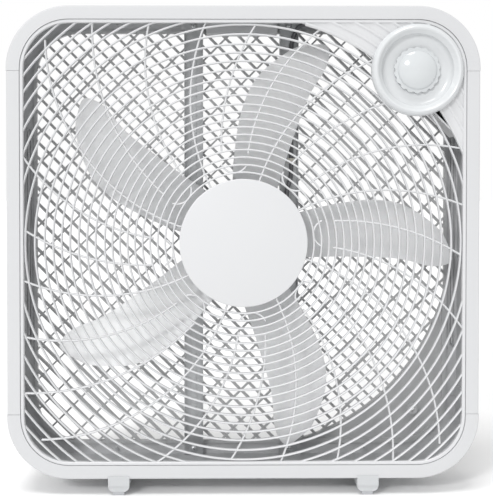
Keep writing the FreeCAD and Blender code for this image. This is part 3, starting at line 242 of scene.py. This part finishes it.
def close_as_wire(tree, lines, sizes):
    """Trims lines to the opening, off the solid corner, and gives them a wire's section."""
    place = lines.node("GeometryNodeInputPosition", {})
    parts = place.node("ShaderNodeSeparateXYZ", {0: place}).socket.node.outputs
    across, up = Flow(parts[0]), Flow(parts[1])
    past = [overshoot(axis, OPENING_HALF - OPENING_ROUND) for axis in (across, up)]
    outside = (past[0] * past[0] + past[1] * past[1]) > OPENING_ROUND ** 2
    above_step = up > across * PANEL_STEP_SLOPE
    edge = PANEL_STEP_RING ** 2 - above_step * (PANEL_STEP_RING ** 2 - PANEL_RING ** 2)
    in_corner = (across > PANEL_LEFT) * (up > PANEL_LOW) * (across * across + up * up > edge)
    from_dish = [across - DISH_PLACE[0], up - DISH_PLACE[1]]
    in_dish = 1.0 - (from_dish[0] * from_dish[0] + from_dish[1] * from_dish[1] > DISH_HOLE ** 2)
    gone = (outside + in_corner + in_dish) > 0.5
    kept = lines.node("GeometryNodeDeleteGeometry", {"Geometry": lines, "Selection": gone},
                      {"domain": "POINT"})
    path = kept.node("GeometryNodeMeshToCurve", {"Mesh": kept})
    path = path.node("GeometryNodeSetCurveNormal", {"Curve": path}, {"mode": "Z_UP"})
    section = path.node("GeometryNodeCurvePrimitiveQuadrilateral",
                        {"Width": sizes["Width"], "Height": sizes["Back"] - sizes["Front"]})
    soft = section.node("GeometryNodeFilletCurve",
                        {"Curve": section, "Radius": sizes["Width"] * 0.4, "Count": 1}, {"mode": "POLY"})
    wire = path.node("GeometryNodeCurveToMesh",
                     {"Curve": path, "Profile Curve": soft, "Fill Caps": True})
    depth = (sizes["Back"] + sizes["Front"]) * 0.5 + FRONT_LIP
    move = depth.node("ShaderNodeCombineXYZ", {"X": 0.0, "Y": depth, "Z": FAN_AXIS})
    turned = wire.node("GeometryNodeTransform",
                       {"Geometry": wire, "Rotation": (math.pi / 2, 0.0, 0.0), "Translation": move})
    close_tree(tree, turned, sizes["Material"])


def ring_tree(sizes):
    """Rings about the fan's axis, a pitch apart."""
    tree, size = new_tree("grille_rings", sizes)
    one = size["First"].node("GeometryNodeMeshCircle", {"Vertices": size["Facets"], "Radius": 1.0})
    centres = one.node("GeometryNodePoints", {"Count": size["Count"]})
    radius = one.node("GeometryNodeInputIndex", {}) * size["Pitch"] + size["First"]
    copies = one.node("GeometryNodeInstanceOnPoints",
                      {"Points": centres, "Instance": one, "Scale": radius})
    close_as_wire(tree, copies.node("GeometryNodeRealizeInstances", {"Geometry": copies}), size)
    return tree


def rib_tree(sizes):
    """One arc, repeated evenly about the fan's axis."""
    tree, size = new_tree("grille_ribs", sizes)
    arc = size["Radius"].node("GeometryNodeCurveArc", {
        "Resolution": size["Facets"], "Radius": size["Radius"], "Start Angle": size["Start"],
        "Sweep Angle": size["Sweep"]})
    turn = size["Toward"]
    centre = arc.node("ShaderNodeCombineXYZ", {
        "X": turn.maths("COSINE", turn) * size["Away"], "Y": turn.maths("SINE", turn) * size["Away"]})
    line = arc.node("GeometryNodeCurveToMesh", {"Curve": arc})
    line = line.node("GeometryNodeTransform", {"Geometry": line, "Translation": centre})
    spots = line.node("GeometryNodePoints", {"Count": size["Repeats"]})
    angle = line.node("GeometryNodeInputIndex", {}) * (2 * math.pi / RIB_REPEATS)
    spin = angle.node("ShaderNodeCombineXYZ", {"Z": angle})
    copies = line.node("GeometryNodeInstanceOnPoints",
                       {"Points": spots, "Instance": line, "Rotation": spin})
    close_as_wire(tree, copies.node("GeometryNodeRealizeInstances", {"Geometry": copies}), size)
    return tree


def lathe(profile, centre, facets):
    """A mesh turned about the fan's direction from points of radius and depth."""
    work = bmesh.new()
    rows = []
    for radius, depth in profile:
        count = facets if radius > 1e-6 else 1
        turns = [2 * math.pi * index / facets for index in range(count)]
        rows.append([work.verts.new((centre[0] + radius * math.cos(turn), FRONT_LIP + depth,
                                     centre[1] + radius * math.sin(turn))) for turn in turns])
    for first, second in zip(rows, rows[1:]):
        for index in range(facets):
            corners = [first[index % len(first)], first[(index + 1) % len(first)],
                       second[(index + 1) % len(second)], second[index % len(second)]]
            corners = [corner for place, corner in enumerate(corners) if corner not in corners[:place]]
            if len(corners) > 2:
                work.faces.new(corners)
    return settled(work)


def settled(work, corner=32.0):
    """Outward faces, smooth but for real corners; ends a bmesh."""
    bmesh.ops.recalc_face_normals(work, faces=work.faces)
    for face in work.faces:
        face.smooth = True
    for edge in work.edges:
        edge.smooth = edge.calc_face_angle(math.pi) < math.radians(corner)
    mesh = bpy.data.meshes.new("made")
    work.to_mesh(mesh)
    work.free()
    return mesh


def swept_rim(half, rounding, profile, steps=12):
    """A closed section carried round a square with round corners; half and rounding are outside."""
    work = bmesh.new()
    rows = []
    for inset, depth in profile:
        row = []
        for quarter in range(4):
            for step in range(steps + 1):
                turn = math.pi / 2 * (quarter + step / steps)
                middle = half - rounding
                side_x = 1 if quarter in (0, 3) else -1
                side_z = 1 if quarter in (0, 1) else -1
                reach = rounding - inset
                row.append(work.verts.new((side_x * middle + reach * math.cos(turn), FRONT_LIP + depth,
                                           FAN_AXIS + side_z * middle + reach * math.sin(turn))))
        rows.append(row)
    for first, second in zip(rows, rows[1:] + rows[:1]):
        for index in range(len(first)):
            after = (index + 1) % len(first)
            work.faces.new((first[index], first[after], second[after], second[index]))
    return settled(work)


def ridged_corner():
    """The solid corner: concentric ridges on a sheet, cut to the opening and round the dish."""
    first_ridge, ridge_pitch, ridge_count, ridge_height = 0.2552, 0.01082, 7, 0.0015
    ridge_slope, ridge_top, ridge_half = 0.0026, 0.0008, 0.0012
    first_turn, last_turn, turn_step, step_turn = 15.0, 80.0, 0.75, 36.0
    sheet_thickness, dish_lap, step_lap, rim_lap, corner_steps = 0.0031, 0.001, 0.002, 0.0015, 12
    heights = []
    for index in range(ridge_count):
        middle = first_ridge + ridge_pitch * index
        heights += [(middle - ridge_slope, 0.0), (middle - ridge_top, ridge_height),
                    (middle + ridge_top, ridge_height), (middle + ridge_half, 0.0)]
        gap = (ridge_pitch - ridge_slope - ridge_half) / 3
        heights += [(middle + ridge_half + gap, 0.0), (middle + ridge_half + 2 * gap, 0.0)]
    work = bmesh.new()
    turn_count = int((last_turn - first_turn) / turn_step) + 1
    turns = [first_turn + turn_step * index for index in range(turn_count)]
    grid = [[work.verts.new((radius * math.cos(math.radians(turn)), FRONT_LIP + WIRE_FRONT - height,
                             radius * math.sin(math.radians(turn)))) for radius, height in heights]
            for turn in turns]
    for turn, near, far in zip(turns, grid, grid[1:]):
        for index in range(len(heights) - 1):
            corners = (near[index], near[index + 1], far[index + 1], far[index])
            in_dish = min(math.hypot(corner.co.x - DISH_PLACE[0], corner.co.z - DISH_PLACE[1])
                          for corner in corners) < DISH_HOLE - dish_lap
            below_step = turn < step_turn and heights[index][0] < PANEL_STEP_RING - step_lap
            if not in_dish and not below_step:
                work.faces.new(corners)
    middle = OPENING_HALF - OPENING_ROUND
    reach = OPENING_ROUND - rim_lap
    cuts = [((PANEL_LEFT, 0, 0), (-1, 0, 0)), ((0, 0, PANEL_LOW), (0, 0, -1))]
    for step in range(corner_steps + 1):
        turn = math.pi / 2 * step / corner_steps
        normal = (math.cos(turn), 0, math.sin(turn))
        cuts.append(((middle + reach * normal[0], 0, middle + reach * normal[2]), normal))
    for point, normal in cuts:
        bmesh.ops.bisect_plane(work, geom=work.verts[:] + work.edges[:] + work.faces[:], plane_co=point,
                               plane_no=normal, clear_outer=True)
    loose = [vert for vert in work.verts if not vert.link_faces]
    bmesh.ops.delete(work, geom=loose, context="VERTS")
    bmesh.ops.translate(work, verts=work.verts, vec=(0, 0, FAN_AXIS))
    back = bmesh.ops.extrude_face_region(work, geom=work.faces[:])["geom"]
    raised = [item for item in back if isinstance(item, bmesh.types.BMVert)]
    for vert in raised:
        vert.co.y = FRONT_LIP + WIRE_FRONT + sheet_thickness
    return settled(work)


grille_plastic = moulded("grille_plastic", GRILLE_WHITE, 0.36, tint=0.015)
wire = {"Width": WIRE_WIDTH, "Front": WIRE_FRONT, "Back": WIRE_BACK, "Material": grille_plastic}
rings = ring_tree({"First": 0.1, "Pitch": 0.01, "Count": 1, "Facets": 300, **wire})
meshes = []
for first, pitch, count, facets in RING_SETS:
    meshes.append(baked("rings", rings, {"First": first, "Pitch": pitch, "Count": count,
                                         "Facets": facets, **wire}))
rib = {"Radius": 0.1, "Start": 0.0, "Sweep": 1.0, "Away": 0.1, "Toward": 0.0, "Facets": 40,
       "Repeats": RIB_REPEATS, **wire, "Width": RIB_WIDTH, "Front": RIB_FRONT}
ribs = rib_tree(rib)
for radius, start, sweep, away, toward in RIB_ARCS:
    meshes.append(baked("ribs", ribs, {**rib, "Radius": radius, "Start": math.radians(start),
                                       "Sweep": math.radians(sweep), "Away": away,
                                       "Toward": math.radians(toward)}))
rim_section = ((0.0037, 0.0014), (0.0031, 0.0008), (0.0006, 0.0008), (0.0, 0.0014), (0.0, 0.0027),
               (-0.0118, 0.0027), (-0.0118, 0.0051), (0.0, 0.0051), (0.0, 0.0082), (0.0037, 0.0082))
meshes.append(swept_rim(RIM_HALF, RIM_ROUND, rim_section))
meshes.append(ridged_corner())
disc_section = ((0.0, 0.0012), (0.0706, 0.0012), (0.0714, 0.0014), (0.0718, 0.0018), (0.0719, 0.0025),
                (0.0719, 0.0082), (0.0694, 0.0082), (0.0694, 0.0036), (0.0, 0.0036))
meshes.append(lathe(disc_section, (0.0, FAN_AXIS), DISC_FACETS))
own(joined("front_grille_moulding", meshes, grille_plastic), "cabinet", "grille_white", "front_grille")

# ---------------------------------------------------------------- rear grille
# A one-piece lattice of slanting slats and thinner crossbars with a disc in its middle and a
# solid corner for the cord's inlet, moulded like the front one and held by eight screws.

# Painted shade: the lattice has the front grille's white, painted darker to stand in for the shade
# inside the cabinet.
painted_shade_lattice_plastic = moulded("painted_shade_lattice_plastic", (0.52, 0.525, 0.53), 0.42, tint=0.02)
softened("rear_grille", "rear_grille_lattice", painted_shade_lattice_plastic, "cabinet", "grille_white", 0.0)

# ---------------------------------------------------------------- dish, knob
# The dish is a polished ring round a bowl, screwed on from behind. The knob in it is one
# glossy moulding: a smooth dome over a scalloped skirt that the fingers turn.

dish_gloss = moulded("dish_gloss", (0.61, 0.625, 0.635), 0.17, depth=0.00001, tint=0.012)
knob_gloss = moulded("knob_gloss", (0.56, 0.58, 0.59), 0.14, depth=0.00001, tint=0.012)
softened("control_bezel", "control_dish", dish_gloss, "cabinet", "knob_white", 0.0, 25.0)
softened("speed_knob", "speed_knob_cap", knob_gloss, "knob", "knob_white", 0.0004)

# ---------------------------------------------------------------- blade
# Five swept blades and a hub in one white polypropylene moulding, a little translucent, with
# a domed nut on the shaft's end that holds it on.

glow = {"Subsurface_Weight": 0.45, "Subsurface_Radius": (1.0, 1.0, 1.0), "Subsurface_Scale": 0.004}
blade_plastic = moulded("blade_plastic", (0.90, 0.905, 0.915), 0.34, tint=0.03, **glow)
softened("fan_blade", "fan_blade_moulding", blade_plastic, "rotor", "blade_white", 0.0004)
softened("blade_nut", "blade_nut_cap", blade_plastic, "rotor", "nylon", 0.0003)

# ---------------------------------------------------------------- feet
# Two grey polypropylene bars across the cabinet's underside, each with a rubber strip under
# its front and its back, held up into the bottom cap by two sunk screws.

foot_plastic = moulded("foot_plastic", (0.50, 0.51, 0.52), 0.45)
pad_rubber = moulded("pad_rubber", (0.50, 0.51, 0.53), 0.75, pebble=700.0, depth=0.0002)
for side in ("left", "right"):
    softened(f"{side}_foot", f"{side}_foot_bar", foot_plastic, "cabinet", "foot_grey", 0.0006)
softened("foot_pads", "foot_pad_strips", pad_rubber, "cabinet", "pad_rubber", 0.0006)

# ---------------------------------------------------------------- struts and fasteners
# Two pressed channels of zinc coated sheet from top to bottom that carry the motor. The screws
# that hold them, and those of the rear grille, are domed with a cross recess; the other screws,
# bolts and nuts are plain. All are bare plated steel, a little uneven in tone and gloss.


def metal(name, colour, roughness, spangle, spread):
    """Bare plated metal: patches of crystal that differ a little in tone and gloss."""
    material, shader, place = new_finish(name, Metallic=1.0)
    patch = place.node("ShaderNodeTexVoronoi", {"Vector": place, "Scale": spangle}, out=1)
    tone = patch.node("ShaderNodeSeparateColor", {0: patch})
    dull = tuple(channel * (1 - spread) for channel in colour)
    feed(shader, "Base Color", tone.mixed(dull, colour))
    feed(shader, "Roughness", tone * 0.12 + roughness)
    return material


galvanised = metal("galvanised_sheet", (0.58, 0.59, 0.60), 0.38, 160.0, 0.14)
plated = metal("zinc_plate", (0.66, 0.67, 0.68), 0.26, 900.0, 0.06)
for side in ("left", "right"):
    softened(f"{side}_strut", f"{side}_strut_channel", galvanised, "cabinet", "galvanised_steel", 0.0003)

HEAD_SIDES, HEAD_RINGS, SHANK_SIDES = 32, 16, 24
SCREW = {"Head Radius": 0.0040, "Head Height": 0.0022, "Shank Radius": 0.0019, "Shank Length": 0.0070,
         "Recess Width": 0.0011, "Recess Reach": 0.0048, "Recess Depth": 0.0012, "Material": plated}
FACING_FRONT, FACING_BACK = (math.pi / 2, 0.0, 0.0), (-math.pi / 2, 0.0, 0.0)


def screw_tree(sizes, facing):
    """A domed screw with a cross recess, copied to each point and turned the way it faces."""
    tree, size = new_tree("recessed_screws", sizes)
    radius, height, depth = size["Head Radius"], size["Head Height"], size["Recess Depth"]

    def vector(**axes):
        return radius.node("ShaderNodeCombineXYZ", axes)

    def moved(shape, **change):
        return shape.node("GeometryNodeTransform", {"Geometry": shape, **change})

    def bar(across, along, deep, middle):
        block = radius.node("GeometryNodeMeshCube", {"Size": vector(X=across, Y=along, Z=deep)})
        return moved(block, Translation=vector(Z=middle))

    ball = radius.node("GeometryNodeMeshUVSphere", {
        "Segments": HEAD_SIDES, "Rings": HEAD_RINGS, "Radius": 1.0})
    head = moved(ball, Scale=vector(X=radius, Y=radius, Z=height))
    wide, reach, deep = size["Recess Width"], size["Recess Reach"], depth * 2.0
    for cutter in (bar(radius * 3.0, radius * 3.0, height * 2.0, height * -1.0),
                   bar(wide, reach, deep, height), bar(reach, wide, deep, height)):
        head = head.node("GeometryNodeMeshBoolean", {"Mesh 1": head, "Mesh 2": cutter},
                         {"operation": "DIFFERENCE"})
    shank = radius.node("GeometryNodeMeshCylinder", {
        "Vertices": SHANK_SIDES, "Radius": size["Shank Radius"], "Depth": size["Shank Length"]})
    shank = moved(shank, Translation=vector(Z=size["Shank Length"] * -0.5))
    screw = head.node("GeometryNodeJoinGeometry", {"Geometry": head})
    tree.links.new(shank.socket, screw.socket.node.inputs["Geometry"])
    places = tree.nodes["Group Input"].outputs["Geometry"]
    spread = screw.node("GeometryNodeInstanceOnPoints", {"Points": Flow(places), "Instance": screw,
                                                         "Rotation": facing})
    close_tree(tree, spread, size["Material"])
    return tree


def screw_set(node, facing, places, **changed):
    """Screws in place of a CAD set, at their places and turned the way they face."""
    sizes = {**SCREW, **changed}
    work = bmesh.new()
    work.from_mesh(baked(node, screw_tree(sizes, facing), sizes, places))
    own(joined(f"{node}_recessed", [settled(work)], plated), "cabinet", "zinc_fastener", node)


STRUT_FRONT, REAR_RIM = 0.0450, 0.0563
strut_places = [(across, STRUT_FRONT, up) for across in (-0.057, 0.057) for up in (0.029, 0.5386)]
screw_set("strut_screws", FACING_FRONT, strut_places)
edge_places = [(across, REAR_RIM, up) for across in (-0.2562, 0.2562) for up in (0.1538, 0.4138)]
edge_places += [(across, REAR_RIM, up) for across in (-0.150, 0.150) for up in (0.0276, 0.5400)]
screw_set("rear_grille_screws", FACING_BACK, edge_places, **{
    "Head Radius": 0.0034, "Head Height": 0.0017, "Shank Radius": 0.0015, "Shank Length": 0.0080,
    "Recess Width": 0.0009, "Recess Reach": 0.0040, "Recess Depth": 0.0010})
for fasteners in ("foot_screws", "joint_screws", "bezel_screws", "switch_nut", "motor_through_bolts",
                  "motor_nuts", "motor_mount_screws", "motor_mount_nuts"):
    softened(fasteners, f"{fasteners}_plated", plated, "cabinet", "zinc_fastener", 0.0002)

# ---------------------------------------------------------------- motor
# Two deep drawn shells in grey paint bolted over a stack of varnished steel sheets and its
# copper coils. The ground shaft turns in two bronze bushes, with nylon thrust washers.

motor_paint = moulded("motor_paint", (0.25, 0.26, 0.28), 0.40, pebble=500.0, depth=0.00004)
bronze = metal("bush_bronze", (0.62, 0.46, 0.25), 0.35, 1500.0, 0.10)
copper = metal("enamelled_copper", (0.62, 0.30, 0.14), 0.30, 700.0, 0.12)
ground = metal("ground_shaft", (0.62, 0.62, 0.63), 0.18, 1200.0, 0.05)
nylon = moulded("natural_nylon", (0.80, 0.77, 0.69), 0.40)
black_plastic = moulded("black_moulding", (0.035, 0.035, 0.038), 0.38)
sheath = moulded("vinyl_sheath", (0.16, 0.16, 0.17), 0.5, pebble=900.0)


def laminated():
    """Steel sheets half a millimetre thick, seen at their cut edges, under varnish."""
    sheet_pitch = 0.0005
    material, shader, place = new_finish("laminated_steel", Metallic=0.8)
    depth = place.node("ShaderNodeSeparateXYZ", {0: place}, out=1)
    edges = depth.maths("SINE", depth * (2 * math.pi / sheet_pitch))
    feed(shader, "Base Color", (edges * 0.5 + 0.5).mixed((0.16, 0.16, 0.17), (0.28, 0.28, 0.29)))
    feed(shader, "Roughness", edges * 0.08 + 0.45)
    bump = {"Height": edges, "Strength": 0.3, "Distance": 0.00005}
    feed(shader, "Normal", depth.node("ShaderNodeBump", bump))
    return material


steel_stack = laminated()
for node, material, body, slot in (
        ("motor_front_shell", motor_paint, "cabinet", "motor_shell"),
        ("motor_rear_shell", motor_paint, "cabinet", "motor_shell"),
        ("stator_core", steel_stack, "cabinet", "lamination_steel"),
        ("stator_windings", copper, "cabinet", "copper_winding"),
        ("rotor_core", steel_stack, "rotor", "lamination_steel"),
        ("thrust_washers", nylon, "rotor", "nylon"),
        ("motor_shaft", ground, "rotor", "ground_steel"),
        ("front_bush", bronze, "cabinet", "bearing_bronze"),
        ("rear_bush", bronze, "cabinet", "bearing_bronze"),
        ("lead_clips", nylon, "cabinet", "nylon"),
        ("motor_lead", sheath, "cabinet", "lead_sheath"),
        ("run_capacitor", black_plastic, "cabinet", "black_plastic"),
        ("switch_body", black_plastic, "cabinet", "black_plastic"),
        ("switch_shaft", nylon, "knob", "nylon"),
        ("cord_gland", grille_plastic, "cabinet", "cabinet_white")):
    softened(node, f"{node}_detail", material, body, slot, 0.0)

# ---------------------------------------------------------------- floor, light and camera
# A pale floor in a bright white room, a broad lamp high in front and a smaller one lower on
# the left, and a long lens a little above and to the left of the fan's middle.

ROOM_LIGHT = 0.68


def add_light(name, spread, strength, place):
    """A broad far-off lamp, as soft as its spread in degrees, that shines from place."""
    light = bpy.data.lights.new(name, "SUN")
    light.angle = math.radians(spread)
    light.energy = strength
    lamp = bpy.data.objects.new(name, light)
    bpy.context.scene.collection.objects.link(lamp)
    lamp.location = place
    lamp.rotation_euler = (-Vector(place)).to_track_quat("-Z", "Y").to_euler()


def studio_floor(half):
    work = bmesh.new()
    bmesh.ops.create_grid(work, x_segments=1, y_segments=1, size=half)
    mesh = bpy.data.meshes.new("studio_floor")
    work.to_mesh(mesh)
    work.free()
    floor = bpy.data.objects.new("studio_floor", mesh)
    bpy.context.scene.collection.objects.link(floor)
    material, shader, place = new_finish("pale_floor")
    feed(shader, "Base Color", noise(place, 1.5).mixed((0.93, 0.93, 0.93), (0.96, 0.96, 0.96)))
    feed(shader, "Roughness", noise(place, 6.0) * 0.1 + 0.7)
    mesh.materials.append(material)


studio_floor(12.0)
add_light("key_from_above", 24.0, 1.35, (-0.35, -0.85, 2.2))
add_light("fill_from_front", 9.0, 1.25, (-0.5, -1.0, 0.55))
world = bpy.data.worlds.new("studio")
world.use_nodes = True
backdrop = world.node_tree.nodes["Background"]
backdrop.inputs["Color"].default_value = (1.0, 1.0, 1.0, 1.0)
seen = Flow(world.node_tree.nodes.new("ShaderNodeLightPath").outputs["Is Camera Ray"])
feed(backdrop, "Strength", seen * (1.0 - ROOM_LIGHT) + ROOM_LIGHT)
bpy.context.scene.world = world
bpy.context.scene.view_settings.view_transform = "Standard"

CAMERA_DISTANCE, CAMERA_LEFT, CAMERA_ABOVE = 1.228, 0.0375, 0.0807
TILT, PAN = math.radians(1.25), math.radians(0.6)
SHIFT_RIGHT, SHIFT_DOWN = 0.073, 0.158
camera = bpy.data.cameras.new("camera")
camera.sensor_width = 36.0
camera.lens = 79.2
reach = camera.lens / camera.sensor_width
camera.shift_x = SHIFT_RIGHT - math.tan(PAN) * reach
camera.shift_y = math.tan(TILT) * reach - SHIFT_DOWN
eye = bpy.data.objects.new("camera", camera)
bpy.context.scene.collection.objects.link(eye)
eye.location = (-CAMERA_LEFT, FRONT_LIP - CAMERA_DISTANCE, FAN_AXIS + CAMERA_ABOVE)
eye.rotation_euler = (math.pi / 2 - TILT, 0.0, -PAN)
bpy.context.scene.camera = eye

bpy.context.view_layer.update()
